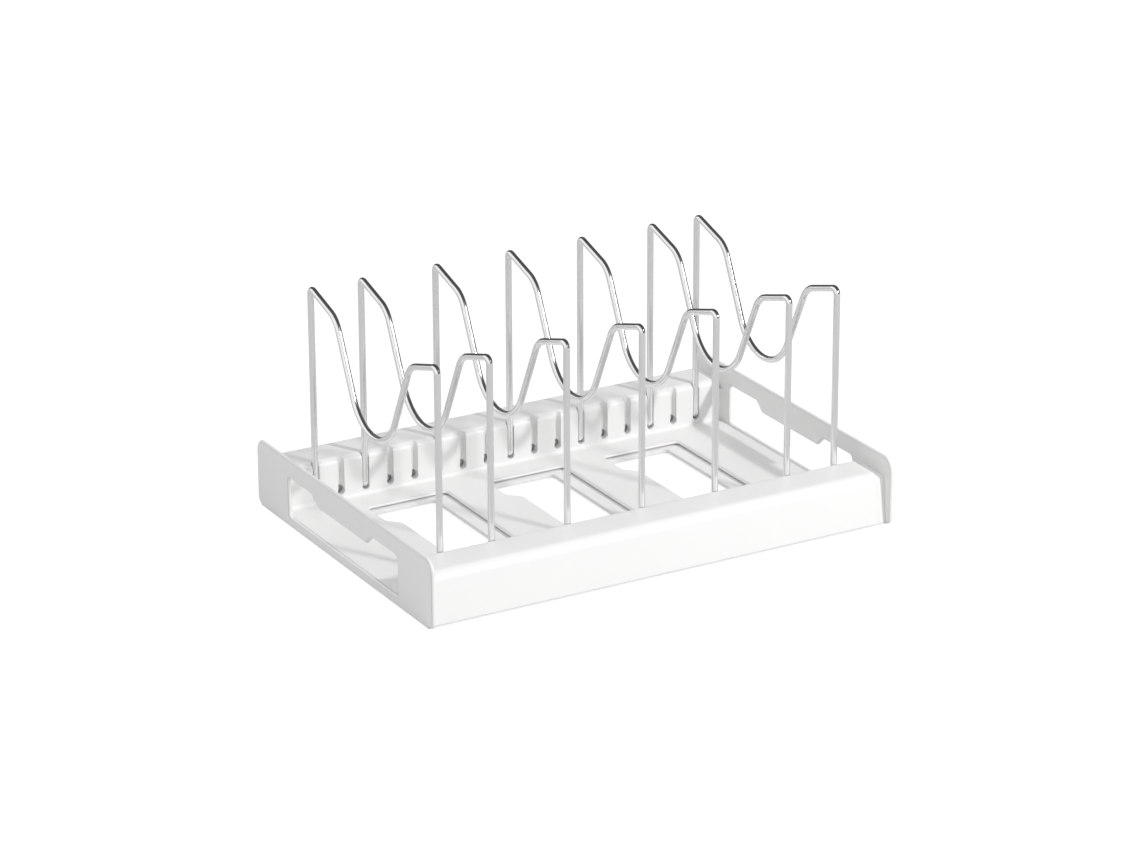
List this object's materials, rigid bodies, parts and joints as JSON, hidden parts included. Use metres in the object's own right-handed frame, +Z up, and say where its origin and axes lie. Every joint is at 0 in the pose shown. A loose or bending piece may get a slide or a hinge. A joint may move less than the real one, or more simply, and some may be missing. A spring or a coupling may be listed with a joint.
{
  "type": "pot lid rack",
  "caption": "Extending rack for pot lids: nested plastic trays with end plates and handle windows, and bent wire dividers across them.",
  "frame": {"origin": "on the standing surface, at the centre of the closed rack's bounding box", "axes": "+X along the rack towards the end plate of the inner tray, +Y to the rear, +Z up"},
  "size_m": [0.3172, 0.2286, 0.1475],
  "materials": {
    "white_plastic": "satin",
    "bright_wire": "polished"
  },
  "bodies": {
    "outer": {"outer_tray": "white_plastic", "divider_wire_1": "bright_wire", "divider_wire_2": "bright_wire", "divider_wire_3": "bright_wire", "divider_wire_4": "bright_wire", "divider_wire_5": "bright_wire", "divider_wire_6": "bright_wire", "divider_wire_7": "bright_wire"},
    "inner": {"inner_tray": "white_plastic"}
  },
  "joints": [
    {"name": "extend", "type": "slide", "parent": "outer", "child": "inner", "axis": [1, 0, 0], "range_m": [0, 0.2]}
  ]
}
